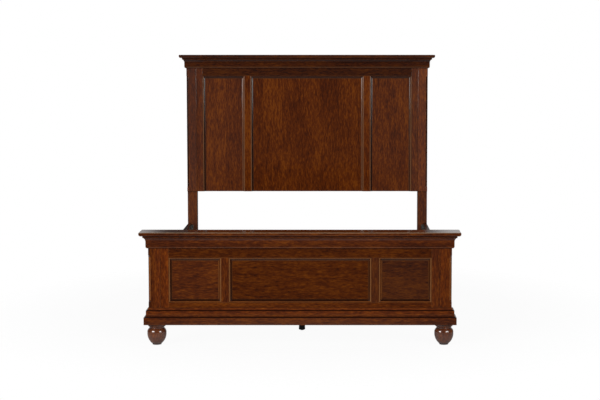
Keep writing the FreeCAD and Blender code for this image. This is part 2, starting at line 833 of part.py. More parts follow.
for side in SIDES:
    x = across(side, POST_INNER, HALF_BED)
    inner = mirrored(side, POST_INNER)
    outer = mirrored(side, HALF_BED)

    name = f"headboard_leg_{side}"
    leg = block(f"{name}_blank", x, (LEG_FACE, HEAD_BACK), ("0", HEAD_CAP_BASE))
    leg = rounded(
        name, leg, "size.eased_edge",
        ("z", {"x": inner, "y": HEAD_BACK}), ("z", {"x": outer, "y": HEAD_BACK}))
    keep(name, let_in(name, leg, side, "head"))

    name = f"headboard_pilaster_{side}"
    facing = block(f"{name}_blank", x, (HEAD_FACE, LEG_FACE), HEAD_FRAME)
    facing = rounded(name, facing, "size.eased_edge", ("z", {"x": inner, "y": HEAD_FACE}))
    keep(name, cut(name, facing, corner_cutter(f"{name}_cutter", side, HEAD_FACE, HEAD_CUT)))

    stile("headboard", side, HEAD_FACE, HEAD_FRAME)
    mullion("headboard", side, HEAD_FACE, HEAD_OPENING, [HEAD_RAIL_GROOVE])

cross_rail("headboard", "top", HEAD_FACE, (HEAD_OPENING_TOP, HEAD_CAP_BASE), HEAD_RAIL_GROOVE)

for bay in OPENINGS:
    panel("headboard", bay, HEAD_FACE, ("size.headboard_bottom", f"{HEAD_OPENING_TOP} + {TONGUE}"))
    bead("headboard", bay, HEAD_FACE, HEAD_OPENING, closed=False)

back_rail_front = f"({HEAD_FACE} + size.frame_thickness)"
keep("headboard_back_rail", block(
    "headboard_back_rail_board", (f"-{POST_INNER}", POST_INNER),
    (back_rail_front, f"{back_rail_front} + size.back_rail_thickness"),
    ("size.headboard_bottom", "size.headboard_bottom + size.back_rail_height")))

wrapped("headboard_crown", CROWN_SECTION, "size.fillet_projection", HEAD_FACE, HEAD_BACK, HEAD_CAP_BASE)
cap("headboard", HEAD_FACE, HEAD_BACK, HEAD_CAP_BASE)

# ---------------------------------------------------------------- footboard

FOOT_FRAME = ("size.footboard_bottom", FOOT_CAP_BASE)
FOOT_OPENING = (FOOT_OPENING_BOTTOM, FOOT_OPENING_TOP)
TOP_RAIL_GROOVE = (FOOT_OPENING_TOP, f"{FOOT_OPENING_TOP} + size.groove_depth")
BOTTOM_RAIL_GROOVE = (f"{FOOT_OPENING_BOTTOM} - size.groove_depth", FOOT_OPENING_BOTTOM)
FOOT_CUT = (
    f"{BASE_TOP} + size.foot_cut_above_base",
    f"{FOOT_CAP_BASE} - {CROWN_HEIGHT} - size.foot_cut_below_crown",
)

for side in SIDES:
    x = across(side, POST_INNER, HALF_BED)
    inner = mirrored(side, POST_INNER)
    outer = mirrored(side, HALF_BED)

    name = f"footboard_post_{side}"
    post = block(f"{name}_blank", x, (FOOT_FACE, FOOT_BACK), FOOT_FRAME)
    post = rounded(name, post, "size.eased_edge", *[
        ("z", {"x": x, "y": y}) for x, y in ((inner, FOOT_FACE), (inner, FOOT_BACK), (outer, FOOT_BACK))])
    post = cut(name, post, corner_cutter(f"{name}_cutter", side, FOOT_FACE, FOOT_CUT), hanger_bolts)
    keep(name, let_in(name, post, side, "foot"))

    stile("footboard", side, FOOT_FACE, FOOT_FRAME)
    mullion("footboard", side, FOOT_FACE, FOOT_OPENING, [TOP_RAIL_GROOVE, BOTTOM_RAIL_GROOVE])

cross_rail("footboard", "top", FOOT_FACE, (FOOT_OPENING_TOP, FOOT_CAP_BASE), TOP_RAIL_GROOVE)
cross_rail(
    "footboard", "bottom", FOOT_FACE, ("size.footboard_bottom", FOOT_OPENING_BOTTOM), BOTTOM_RAIL_GROOVE)

for bay in OPENINGS:
    panel("footboard", bay, FOOT_FACE, (
        f"{FOOT_OPENING_BOTTOM} - {TONGUE}", f"{FOOT_OPENING_TOP} + {TONGUE}"))
    bead("footboard", bay, FOOT_FACE, FOOT_OPENING, closed=True)

wrapped(
    "footboard_plinth", tier(
        "size.plinth_projection", "size.plinth_height",
        "size.plinth_projection - size.base_step - size.base_cove_reach"),
    "size.plinth_projection", FOOT_FACE, FOOT_BACK, "size.footboard_bottom")
wrapped(
    "footboard_base_moulding", tier(
        "size.base_projection", "size.base_height",
        "size.base_projection - size.base_step - size.base_cove_reach"),
    "size.base_projection", FOOT_FACE, FOOT_BACK, PLINTH_TOP)
wrapped("footboard_crown", CROWN_SECTION, "size.fillet_projection", FOOT_FACE, FOOT_BACK, FOOT_CAP_BASE)
cap("footboard", FOOT_FACE, f"{FOOT_BACK} + size.cap_back_overhang", FOOT_CAP_BASE)

for side in SIDES:
    name = f"bun_foot_{side}"
    bun = turned(f"{name}_turning", [
        ("0", "0"),
        ("size.bun_pad_radius", "0"),
        ("size.bun_pad_radius", "size.bun_pad_height"),
        ("size.bun_bowl_radius", "size.bun_pad_height"),
        ("size.bun_belly_radius", "size.bun_belly_height", "left", "size.bun_bowl_bend"),
        ("size.bun_neck_radius", "size.bun_neck_height", "left", "size.bun_shoulder_bend"),
        ("size.bun_collar_radius", "size.bun_collar_height", "right", "size.bun_neck_bend"),
        ("size.bun_collar_radius", "size.footboard_bottom"),
        ("0", "size.footboard_bottom"),
    ])
    place(bun, mirrored(side, BUN_X), BUN_Y, "0")
    keep(name, cut(name, bun, hanger_bolts))

# ---------------------------------------------------------------- side rails, ledges and slats

for side in SIDES:
    name = f"side_rail_{side}"
    inner = mirrored(side, RAIL_INNER)
    outer = mirrored(side, HALF_BED)
    rail = block(
        f"{name}_blank", across(side, RAIL_INNER, HALF_BED),
        (FOOT_BACK, LEG_FACE), (RAIL_BOTTOM, "size.rail_top"))
    rail = rounded(
        name, rail, "size.rail_edge_radius",
        ("y", {"x": inner, "z": "size.rail_top"}), ("y", {"x": outer, "z": "size.rail_top"}),
        ("y", {"x": outer, "z": RAIL_BOTTOM}))
    keep(name, cut(name, rail, plate_screws))

    name = f"slat_ledge_{side}"
    ledge = block(
        f"{name}_blank", across(side, LEDGE_INNER, RAIL_INNER),
        (f"{FOOT_BACK} + size.ledge_end_gap", f"{LEG_FACE} - size.ledge_end_gap"),
        ("size.ledge_top - size.ledge_height", "size.ledge_top"))
    keep(name, cut(name, ledge, slat_screws))

# ---------------------------------------------------------------- slats, centre legs and feet


def slat(step, middle):
    """One cross slat on the two ledges, with its edges eased along the top."""
    name = f"slat_{step}"
    near = f"{middle} - size.slat_width / 2"
    far = f"{middle} + size.slat_width / 2"
    end = f"({RAIL_INNER} - size.slat_end_gap)"
    board = block(f"{name}_blank", (f"-{end}", end), (near, far), ("size.ledge_top", SLAT_TOP))
    board = rounded(
        name, board, "size.slat_edge_radius",
        ("x", {"y": near, "z": SLAT_TOP}), ("x", {"y": far, "z": SLAT_TOP}))
    keep(name, cut(name, board, slat_screws, leg_bolts))


def centre_leg(step, middle):
    """Square leg bolted under the middle of a slat, bored at its foot for the levelling stud."""
    name = f"centre_leg_{step}"
    half = "size.centre_leg_width / 2"
    near = f"{middle} - {half}"
    far = f"{middle} + {half}"
    leg = block(f"{name}_blank", (f"-{half}", half), (near, far), (LEG_BOTTOM, "size.ledge_top"))
    leg = rounded(name, leg, "size.centre_leg_radius", *[
        ("z", {"x": x, "y": y}) for x in (f"-{half}", half) for y in (near, far)])
    bore = doc.addObject("Part::Cylinder", f"{name}_bore")
    bore.setExpression("Radius", "size.stud_radius + size.running_gap")
    bore.setExpression("Height", "size.stud_in_leg + size.screw_in_travel + size.stud_radius")
    place(bore, "0", middle, LEG_BOTTOM)
    keep(name, cut(name, leg, bore, leg_bolts))


def levelling_pad(step, middle):
    """Flared foot with a cone underneath, hollow inside around the disc of the stud."""
    name = f"levelling_pad_{step}"
    cavity = "size.stud_disc_radius + size.running_gap"
    mouth = "size.stud_radius + size.running_gap"
    foot = turned(name, [
        ("0", "0"),
        ("size.pad_tip_radius", "0"),
        ("size.pad_rim_radius", "size.pad_cone_height"),
        ("size.pad_rim_radius", "size.pad_rim_height"),
        ("size.pad_top_radius", "size.pad_height"),
        (mouth, "size.pad_height"),
        (mouth, SOCKET_TOP),
        (cavity, SOCKET_TOP),
        (cavity, "size.socket_floor"),
        ("0", "size.socket_floor"),
    ])
    place(foot, "0", middle, "0")
    keep(name, foot)


def levelling_stud(step, middle):
    """Screw of the foot: a disc trapped in the pad, a hexagon for the spanner and the stem."""
    name = f"levelling_stud_{step}"
    bottom = "size.socket_floor + size.running_gap"
    shoulder = f"{bottom} + size.stud_disc_height"
    stem = turned(f"{name}_stem", [
        ("0", bottom),
        ("size.stud_disc_radius", bottom),
        ("size.stud_disc_radius", shoulder),
        ("size.stud_radius", shoulder),
        ("size.stud_radius", f"{LEG_BOTTOM} + size.stud_in_leg"),
        ("0", f"{LEG_BOTTOM} + size.stud_in_leg"),
    ])
    place(stem, "0", middle, "0")
    hexagon = doc.addObject("PartDesign::Body", f"{name}_hexagon")
    corners = [
        (f"size.stud_hex_radius * cos({angle})", f"size.stud_hex_radius * sin({angle})")
        for angle in range(0, 360, 60)
    ]
    sketch = outline(hexagon, "XY_Plane", corners, f"{name}_hexagon_outline")
    padded(hexagon, sketch, "size.stud_hex_height", f"{name}_hexagon_pad")
    place(hexagon, "0", middle, HEX_BOTTOM)
    keep(name, join(name, stem, hexagon))


for step, middle in SLAT_PLACES.items():
    slat(step, middle)
    centre_leg(step, middle)
    levelling_pad(step, middle)
    levelling_stud(step, middle)

# ---------------------------------------------------------------- check and export

doc.recompute()

for thing in doc.Objects:
    if "Invalid" in thing.State or "Error" in thing.State:
        raise RuntimeError(f"{thing.Label} failed: {thing.State}")

os.makedirs("parts", exist_ok=True)
for name, piece in pieces.items():
    shape = piece.Shape
    if shape.isNull() or not shape.isValid():
        raise RuntimeError(f"{name} has no valid shape")
    if piece.Label != name:
        raise RuntimeError(f"{name} was renamed to {piece.Label}")

for name, piece in pieces.items():
    piece.Shape.exportStep(f"parts/{name}.step")

whole = Part.makeCompound([piece.Shape for piece in pieces.values()])
box = whole.BoundBox
print(f"{len(pieces)} pieces, {len(whole.Solids)} solids")
print(f"width {box.XLength:.1f}, length {box.YLength:.1f}, height {box.ZLength:.1f}, lowest {box.ZMin:.3f}")
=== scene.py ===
# %% [markdown]
# # A panel bed in stained cherry
#
# The bed is a tall panelled headboard, a low panelled footboard on turned feet, two side
# rails that hook on between them, and slats on centre legs.  Every board, moulding and screw
# arrives from the frame as a solid of its own, at its real size.  What is left for Blender is
# the finish: stain that follows the grain, glaze that stays in the quirks, lacquer, zinc and
# plastic.  Then come the studio, the lamps and the camera.

# %% Load the bed
import math

import bpy
import numpy as np
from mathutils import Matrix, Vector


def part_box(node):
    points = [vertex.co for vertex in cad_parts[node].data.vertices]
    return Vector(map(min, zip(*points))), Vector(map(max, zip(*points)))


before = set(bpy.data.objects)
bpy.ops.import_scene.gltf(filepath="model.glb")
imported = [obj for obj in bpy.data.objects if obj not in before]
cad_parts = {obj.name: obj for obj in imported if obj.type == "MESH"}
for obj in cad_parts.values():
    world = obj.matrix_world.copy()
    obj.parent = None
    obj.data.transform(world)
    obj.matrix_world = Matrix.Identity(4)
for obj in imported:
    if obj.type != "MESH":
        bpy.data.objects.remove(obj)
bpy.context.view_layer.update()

# %% [markdown]
# ## Two small helpers for nodes
#
# A material is a graph.  Written out one line per node, one line per setting and one line per
# link, even a short graph fills a page.  The first helper makes a node and fills its inputs
# with values or with links in one call.  The second does the same for the Math node, which
# these finishes use most.

# %% Helpers that make nodes


def node(tree, kind, inputs=None, **settings):
    """A new node with its settings; each input is given a value or joined to a socket."""
    made = tree.nodes.new(kind)
    for name, value in settings.items():
        setattr(made, name, value)
    for key, value in (inputs or {}).items():
        if isinstance(value, bpy.types.NodeSocket):
            tree.links.new(value, made.inputs[key])
        else:
            made.inputs[key].default_value = value
    return made


def reckon(tree, operation, *values):
    """The answer of one Math node."""
    return node(tree, "ShaderNodeMath", dict(enumerate(values)), operation=operation).outputs[0]


def spread(tree, value, low, high, to_low=0.0, to_high=1.0):
    """A value carried from one range to another, held at both ends."""
    inputs = {"Value": value, "From Min": low, "From Max": high, "To Min": to_low, "To Max": to_high}
    return node(tree, "ShaderNodeMapRange", inputs).outputs["Result"]


def band(tree, value, low, high, soft, strength):
    """A mask that is strength between two values and fades to nothing over soft on both sides."""
    rise = spread(tree, value, low - soft, low, 0.0, strength)
    return reckon(tree, "MULTIPLY", rise, spread(tree, value, high, high + soft, 1.0, 0.0))


def blend_colours(tree, share, first, second):
    """Two colours mixed by a share."""
    made = node(tree, "ShaderNodeMix", None, data_type="RGBA", blend_type="MIX")
    for key, value in {"Factor": share, "A": first, "B": second}.items():
        socket = next(s for s in made.inputs if s.name == key and s.enabled)
        if isinstance(value, bpy.types.NodeSocket):
            tree.links.new(value, socket)
        else:
            socket.default_value = value
    return next(s for s in made.outputs if s.enabled)


def stretched(tree, place, across, along):
    """Coordinates in which a round spot becomes a streak: many to the metre across, few along."""
    inputs = {0: place, 1: (across, across, along)}
    return node(tree, "ShaderNodeVectorMath", inputs, operation="MULTIPLY").outputs[0]


def noise(tree, place, detail=2.0, roughness=0.5):
    """Fractal noise at a scale of one, because its coordinates are stretched beforehand."""
    inputs = {"Vector": place, "Scale": 1.0, "Detail": detail, "Roughness": roughness}
    return node(tree, "ShaderNodeTexNoise", inputs)


def new_group(name, inputs, outputs):
    """An empty shader group with named sockets, and the two ends that its nodes join."""
    group = bpy.data.node_groups.new(name, "ShaderNodeTree")
    for title, kind, value in inputs:
        socket = group.interface.new_socket(title, in_out="INPUT", socket_type="NodeSocket" + kind)
        if value is not None:
            socket.default_value = value
    for title, kind in outputs:
        group.interface.new_socket(title, in_out="OUTPUT", socket_type="NodeSocket" + kind)
    return group, group.nodes.new("NodeGroupInput").outputs, group.nodes.new("NodeGroupOutput").inputs


def use(tree, group, **inputs):
    """A group placed in a material, with its inputs by name, underscores for spaces."""
    made = node(tree, "ShaderNodeGroup", None, node_tree=group)
    for key, value in inputs.items():
        socket = made.inputs[key.replace("_", " ")]
        if isinstance(value, bpy.types.NodeSocket):
            tree.links.new(value, socket)
        else:
            socket.default_value = value
    return made.outputs


# %% [markdown]
# ## Figure in the wood
#
# Stained cherry is not one brown.  The stain soaks in unevenly, so there are streaks half a
# finger wide and a finger long, soft darker clouds, fine fibres and short dark flecks.  All of
# them run along the board.  A picture of wood would show its edges where boards meet, and it
# would stretch over a moulding, so the figure is a solid one: noise read from the place in
# the metre space of the piece, squeezed across the grain.  An end cut then shows the ends of
# the same streaks.  Wide panels are glued up from narrower boards, so the place jumps to
# another part of the noise at each glue line.
#
# The group expects the grain along its own Z, and each material turns its piece to suit.  A
# scale is a pair: how many spots go to the metre across the grain, and how many along it.

# %% The figure group
BOARD_JUMP = 7.0       # metres of noise between one board and the next
SWAY = 0.02            # metres that the grain wanders sideways
SWAY_SCALE = (3.0, 0.9)
STREAK_SCALE = (85.0, 15.0)
CLOUD_SCALE = (7.0, 2.2)
FIBRE_SCALE = (240.0, 42.0)
FLECK_SCALE = (520.0, 48.0)
SHARES = {"streaks": 0.34, "clouds": 0.24, "fibres": 0.42, "boards": 0.05}
DARK_AT, MIDDLE_AT, LIGHT_AT = 0.38, 0.5, 0.62     # depths at which each stain colour is pure
FLECK_FADE = (0.62, 0.72)        # noise at which a fleck begins, and is whole
NOISE_RANGE = (0.3, 0.7)         # nearly all of a noise lies between these
LACQUER_ROUGHNESS = (0.15, 0.11)
FIBRE_RELIEF = 0.5

figure, given, wanted = new_group(
    "cherry_figure",
    [("Place", "Vector", None), ("Board width", "Float", 10.0), ("Dark", "Color", None),
     ("Middle", "Color", None), ("Light", "Color", None), ("Flecks", "Float", 0.5)],
    [("Colour", "Color"), ("Roughness", "Float"), ("Relief", "Float")])

across_grain = node(figure, "ShaderNodeSeparateXYZ", {0: given["Place"]}).outputs["X"]
board_number = reckon(figure, "FLOOR", reckon(figure, "DIVIDE", across_grain, given["Board width"]))
board = node(figure, "ShaderNodeTexWhiteNoise", {"W": board_number}, noise_dimensions="1D").outputs
moved = node(
    figure, "ShaderNodeVectorMath", {0: board["Color"], 1: (BOARD_JUMP,) * 3, 2: given["Place"]},
    operation="MULTIPLY_ADD").outputs[0]
wander = noise(figure, stretched(figure, moved, *SWAY_SCALE)).outputs["Color"]
swayed = node(
    figure, "ShaderNodeVectorMath", {0: wander, 1: (SWAY, SWAY, 0.0), 2: moved},
    operation="MULTIPLY_ADD").outputs[0]

streaks = noise(figure, stretched(figure, swayed, *STREAK_SCALE), detail=3.0, roughness=0.55).outputs["Fac"]
clouds = noise(figure, stretched(figure, swayed, *CLOUD_SCALE), detail=2.0).outputs["Fac"]
fibres = noise(figure, stretched(figure, swayed, *FIBRE_SCALE), detail=2.0).outputs["Fac"]
specks = noise(figure, stretched(figure, swayed, *FLECK_SCALE), detail=1.0).outputs["Fac"]
flecks = reckon(figure, "MULTIPLY", spread(figure, specks, *FLECK_FADE), given["Flecks"])

depth = reckon(figure, "MULTIPLY", streaks, SHARES["streaks"])
depth = reckon(figure, "MULTIPLY_ADD", clouds, SHARES["clouds"], depth)
depth = reckon(figure, "MULTIPLY_ADD", fibres, SHARES["fibres"], depth)
own_tone = reckon(figure, "SUBTRACT", board["Value"], 0.5)
depth = reckon(figure, "MULTIPLY_ADD", own_tone, SHARES["boards"], depth)
lower = spread(figure, depth, DARK_AT, MIDDLE_AT)
upper = spread(figure, depth, MIDDLE_AT, LIGHT_AT)
stain = blend_colours(figure, lower, given["Dark"], given["Middle"])
stain = blend_colours(figure, upper, stain, given["Light"])
stain = blend_colours(figure, flecks, stain, given["Dark"])
figure.links.new(stain, wanted["Colour"])
figure.links.new(spread(figure, streaks, *NOISE_RANGE, *LACQUER_ROUGHNESS), wanted["Roughness"])
raised = reckon(figure, "MULTIPLY", fibres, FIBRE_RELIEF)
figure.links.new(reckon(figure, "SUBTRACT", raised, flecks), wanted["Relief"])
print("figure group:", len(figure.nodes), "nodes")

# %% [markdown]
# ## Glaze in the quirks, wear on the edges
#
# After the stain a dark glaze is wiped on and rubbed off.  It stays where the cloth can't
# reach, along the foot of each bead and under each step, and the rubbing leaves the sharp
# edges a little lighter.  Ambient occlusion measures both: how shut in a point is from the
# outside, and, turned inwards, how near it is to an outer edge.
#
# The group also takes two masks from outside.  The first lays the dark colour as glaze in joints and rings,
# and as painted shade in hollows, cuts and under ledges, and as darkening towards some boards' outer edges.
# The second lays the light colour as painted light: highlights, reflections and lit flats.  Each is the
# larger of its own measure and its mask, and the dark colour lies over the light one.

# %% The glaze group
GLAZE_REACH = 0.014    # metres from a corner that the glaze fades over
EDGE_REACH = 0.003
GLAZE_FADE = (0.85, 0.45)        # openness at which the glaze begins, and is whole
RUB_FADE = (0.9, 0.55)           # the same for the rubbed edges

# The dark colour and its mask paint glaze and also painted shade; the light colour and its mask paint wear
# and also painted light.
glaze, given, wanted = new_group(
    "glaze_wear_and_painted_light",
    [("Colour", "Color", None), ("Glaze", "Color", None), ("Rubbed", "Color", None),
     ("Glaze amount", "Float", 0.95), ("Wear", "Float", 0.35), ("GlazeAndShade", "Float", 0.0),
     ("PaintedLight", "Float", 0.0)],
    [("Colour", "Color")])

open_air = node(glaze, "ShaderNodeAmbientOcclusion", {"Distance": GLAZE_REACH}, samples=8).outputs["AO"]
shut_in = reckon(glaze, "MULTIPLY", spread(glaze, open_air, *GLAZE_FADE), given["Glaze amount"])
# The larger of the glaze in the quirks and the mask from outside, which is painted shade, with glaze in
# joints and rings.
held = reckon(glaze, "MAXIMUM", shut_in, given["GlazeAndShade"])
inward = node(glaze, "ShaderNodeAmbientOcclusion", {"Distance": EDGE_REACH}, samples=4, inside=True)
at_edge = reckon(glaze, "MULTIPLY", spread(glaze, inward.outputs["AO"], *RUB_FADE), given["Wear"])
# The larger of the wear at the edges and the mask from outside, which is painted light.
worn_and_lit = reckon(glaze, "MAXIMUM", at_edge, given["PaintedLight"])
worn_and_lit_colour = blend_colours(glaze, worn_and_lit, given["Colour"], given["Rubbed"])
glazed = blend_colours(glaze, held, worn_and_lit_colour, given["Glaze"])
glaze.links.new(glazed, wanted["Colour"])
print("glaze group:", len(glaze.nodes), "nodes")

# %% [markdown]
# ## Where the grain turns a corner
#
# A crown that wraps a board is three lengths, mitred at the corners, and the grain of each
# runs its own way.  They share one node here, so the material has to find the mitres.  A
# mitre lies where the distance out from the front equals the distance out from the side, so
# the larger of the two says which length a point is on.  Around a panel it is the smaller of
# the distances to the opening's upright and level edges.

# %% Groups that find the mitres
wrap_mitre, given, wanted = new_group(
    "mitre_around_board",
    [("Place", "Vector", None), ("Half width", "Float", 0.0), ("Front", "Float", 0.0)],
    [("Return", "Float")])
xyz = node(wrap_mitre, "ShaderNodeSeparateXYZ", {0: given["Place"]}).outputs
past_side = reckon(wrap_mitre, "SUBTRACT", reckon(wrap_mitre, "ABSOLUTE", xyz["X"]), given["Half width"])
past_front = reckon(wrap_mitre, "SUBTRACT", given["Front"], xyz["Y"])
wrap_mitre.links.new(reckon(wrap_mitre, "GREATER_THAN", past_side, past_front), wanted["Return"])

frame_mitre, given, wanted = new_group(
    "mitre_around_panel",
    [("Place", "Vector", None), ("Left", "Float", 0.0), ("Right", "Float", 0.0),
     ("Bottom", "Float", 0.0), ("Top", "Float", 0.0)],
    [("Upright", "Float"), ("Across", "Float"), ("Right half", "Float"), ("Lower half", "Float")])
xyz = node(frame_mitre, "ShaderNodeSeparateXYZ", {0: given["Place"]}).outputs
from_left = reckon(frame_mitre, "SUBTRACT", xyz["X"], given["Left"])
from_right = reckon(frame_mitre, "SUBTRACT", given["Right"], xyz["X"])
from_bottom = reckon(frame_mitre, "SUBTRACT", xyz["Z"], given["Bottom"])
from_top = reckon(frame_mitre, "SUBTRACT", given["Top"], xyz["Z"])
to_side = reckon(frame_mitre, "MINIMUM", from_left, from_right)
to_level = reckon(frame_mitre, "MINIMUM", from_bottom, from_top)
frame_mitre.links.new(reckon(frame_mitre, "LESS_THAN", to_side, to_level), wanted["Upright"])
frame_mitre.links.new(reckon(frame_mitre, "MINIMUM", to_side, to_level), wanted["Across"])
frame_mitre.links.new(reckon(frame_mitre, "LESS_THAN", from_right, from_left), wanted["Right half"])
frame_mitre.links.new(reckon(frame_mitre, "LESS_THAN", from_bottom, from_top), wanted["Lower half"])
print("mitre groups:", len(wrap_mitre.nodes), "and", len(frame_mitre.nodes), "nodes")

# %% [markdown]
# ## The stain and its casts
#
# No two boards take the stain alike.  One comes out lighter, the next darker, and the eye reads a whole bed
# in one even brown as plastic.  So each board has a cast: a factor on the stain's colours, which is partly
# the board's own tone and partly painted light and shade, and some grey added to them, which is painted
# sheen.  The colours are linear values.  A name in the table stands for every piece whose name starts with
# it.

# %% Colours of the stain
STAIN_DARK = (0.034, 0.0062, 0.0012)
STAIN_MIDDLE = (0.080, 0.0155, 0.0016)
STAIN_LIGHT = (0.148, 0.036, 0.0026)
# The glaze colour also paints shade, and the rubbed colour also paints highlights, reflections and lit
# flats; the cap's edge colour paints both the cap's wear and its painted highlight.
GLAZE_AND_SHADE_COLOUR = (0.013, 0.0024, 0.0008)
WORN_AND_LIT_COLOUR = (0.19, 0.075, 0.024)
CAP_WEAR_AND_HIGHLIGHT = (0.27, 0.18, 0.11)
# In each cast the first number is partly the board's own tone and partly painted light and shade, and the
# second, the grey, is painted sheen.
CASTS = {              # for some boards, how light the stain came out and how grey
    "headboard_top_rail": (0.57, 0.0022),
    "headboard_crown": (0.66, 0.001),
    "headboard_cap": (0.85, 0.0),
    "headboard_leg": (1.1, 0.010),
    "headboard_pilaster_left": (1.2, 0.0115),
    "headboard_pilaster_right": (1.55, 0.0125),
    "headboard_stile_left": (1.5, 0.009),
    "headboard_stile_right": (1.25, 0.010),
    "headboard_mullion_left": (1.35, 0.0),
    "headboard_mullion_right": (1.5, 0.001),
    "headboard_bead": (1.0, 0.012),
    "headboard_panel_centre": (1.24, 0.001),
    "headboard_panel": (1.27, 0.005),
    "footboard_panel_centre": (0.8, 0.0),
    "footboard_panel_left": (0.98, 0.002),
    "footboard_panel_right": (0.62, 0.003),
    "footboard_stile_left": (1.85, 0.0),
    "footboard_stile_right": (1.18, 0.002),
    "footboard_post_left": (1.7, 0.001),
    "footboard_post_right": (1.38, 0.001),
    "footboard_mullion_left": (1.1, 0.001),
    "footboard_mullion_right": (0.75, 0.003),
    "footboard_crown": (1.12, 0.002),
    "footboard_top_rail": (0.77, 0.0),
    "footboard_plinth": (1.0, 0.002),
    "footboard_base_moulding": (1.42, 0.001),
    "side_rail": (0.5, 0.008),
    "bun_foot": (1.1, 0.008),
}
cast_boards = [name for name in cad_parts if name.startswith(tuple(CASTS))]
print("pieces with a cast of their own:", len(cast_boards), "of", len(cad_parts))

# %% [markdown]
# ## The cherry finish
#
# One function makes the finish for one piece, because each piece is another board: it gets
# its own corner of the noise, and its own cast.  The shader and its Bump stay here and not in
# a group, and the sheen that is the same all over is set on the shader.

# %% Stained and lacquered cherry
BOARD_SHEEN = 0.5
TURNED_SHEEN = 1.0     # the feet are polished on the lathe
PLAIN_CAST = (1.0, 0.0)
EASED_EDGE = 0.0012    # metres by which sanding rounds every edge
PORE_DEPTH = 0.00004   # metres
PORE_STRENGTH = 0.4
QUARTER = math.radians(90)
TURNS = {"x": (0, -QUARTER, 0), "y": (QUARTER, 0, 0), "z": (0, 0, 0)}
draw = np.random.default_rng(11)


def toned(colour, tone, grey=0.0):
    """A colour made lighter or darker, with a little grey added as painted sheen, and full alpha."""
    return tuple(part * tone + grey for part in colour) + (1.0,)


def grain_place(tree, grain):
    """The piece's own coordinates, its grain turned along Z, in a fresh part of the noise."""
    place = node(tree, "ShaderNodeTexCoord").outputs["Object"]
    corner = tuple(float(v) for v in draw.uniform(3, 60, 3))
    inputs = {"Vector": place, "Location": corner, "Rotation": TURNS[grain]}
    return node(tree, "ShaderNodeMapping", inputs).outputs[0]


def mixed_places(tree, share, first, second):
    """One of two sets of coordinates, by a mask."""
    made = node(tree, "ShaderNodeMix", None, data_type="VECTOR")
    for key, value in {"Factor": share, "A": first, "B": second}.items():
        tree.links.new(value, next(s for s in made.inputs if s.name == key and s.enabled))
    return next(s for s in made.outputs if s.enabled)


def cherry(name, place_of, masks_of=None, board_width=10.0, flecks=0.45):
    """Stained, glazed and lacquered cherry for one piece.

    place_of gives the piece's grain coordinates, and masks_of the marks laid over the stain: glaze in
    joints and rings, painted shade and painted light.
    """
    material = bpy.data.materials.new("cherry_" + name)
    material.use_nodes = True
    tree = material.node_tree
    shader = tree.nodes["Principled BSDF"]
    # The cast's grey is painted sheen, and its tone is partly painted light and shade.
    tone, grey = next((cast for start, cast in CASTS.items() if name.startswith(start)), PLAIN_CAST)
    # The colour of worn edges, which also paints highlights and lit flats; the footboard cap's is paler,
    # for its painted highlight.
    worn_and_lit_wood = CAP_WEAR_AND_HIGHLIGHT if name == "footboard_cap" else WORN_AND_LIT_COLOUR
    wood = use(
        tree, figure, Place=place_of(tree), Board_width=board_width, Flecks=flecks,
        Dark=toned(STAIN_DARK, tone, grey), Middle=toned(STAIN_MIDDLE, tone, grey),
        Light=toned(STAIN_LIGHT, tone, grey))
    masks = masks_of(tree) if masks_of else {}
    finish = use(
        tree, glaze, Colour=wood["Colour"], Glaze=toned(GLAZE_AND_SHADE_COLOUR, 1.0),
        Rubbed=toned(worn_and_lit_wood, tone, grey), **masks)
    edge = node(tree, "ShaderNodeBevel", {"Radius": EASED_EDGE}, samples=4).outputs[0]
    relief = node(
        tree, "ShaderNodeBump",
        {"Height": wood["Relief"], "Normal": edge, "Strength": PORE_STRENGTH,
         "Distance": PORE_DEPTH}).outputs[0]
    tree.links.new(finish["Colour"], shader.inputs["Base Color"])
    tree.links.new(wood["Roughness"], shader.inputs["Roughness"])
    tree.links.new(relief, shader.inputs["Normal"])
    sheen = TURNED_SHEEN if name.startswith("bun_foot") else BOARD_SHEEN
    shader.inputs["Specular IOR Level"].default_value = sheen
    return material


def finish_node(name, material):
    """Puts a material on every slot of a CAD node."""
    mesh_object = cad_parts[name]
    for slot in mesh_object.material_slots:
        slot.material = material


def nodes_named(*starts):
    """The CAD nodes whose names start in one of these ways."""
    return [name for name in sorted(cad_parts) if name.startswith(starts)]




# %% [markdown]
# ## Which way each board runs
#
# Uprights run up, rails run across, and the side rails run along the bed.  The headboard's
# panels stand, and the footboard's lie.  A joiner never cuts a rail across the grain, since it
# would break, so the direction is known from what a board does and needs no measuring.  The
# front planes and the half width are read from the frame, because the masks count from them.

# %% Sort the boards
BOARDS = {
    "z": ("headboard_leg", "headboard_pilaster", "headboard_stile", "headboard_mullion", "headboard_panel",
          "footboard_post", "footboard_stile", "footboard_mullion", "bun_foot"),
    "x": ("headboard_top_rail", "headboard_back_rail", "headboard_cap", "footboard_top_rail",
          "footboard_bottom_rail", "footboard_panel", "footboard_cap"),
    "y": ("side_rail",),
}
PANEL_BOARD = 0.13     # metres between the glue lines of a wide panel
WHOLE_BOARD = 10.0     # wider than any piece, so no glue line
half_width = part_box("headboard_pilaster_right")[1].x
fronts = {
    "headboard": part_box("headboard_pilaster_left")[0].y,
    "footboard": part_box("footboard_post_left")[0].y,
}
print("boards by grain:", {grain: len(nodes_named(*starts)) for grain, starts in BOARDS.items()})
print("half width", round(half_width, 4), "fronts", {name: round(y, 4) for name, y in fronts.items()})

# %% [markdown]
# ## Darkening and glaze on the uprights
#
# Some uprights are darker towards the bed's outer edges, and a thread of glaze sits in the joints of the
# stiles.  Each mark lies at a known distance from an edge, so a few sums on the piece's own coordinates
# place it exactly, where a painted picture would have to be fitted by hand.

# %% Masks for the uprights
JOINT_GLAZE = {"headboard": 0.5, "footboard": 0.2}
JOINT_FADE = (0.002, 0.003)      # metres from the joint: where its thread begins to fade, and is gone
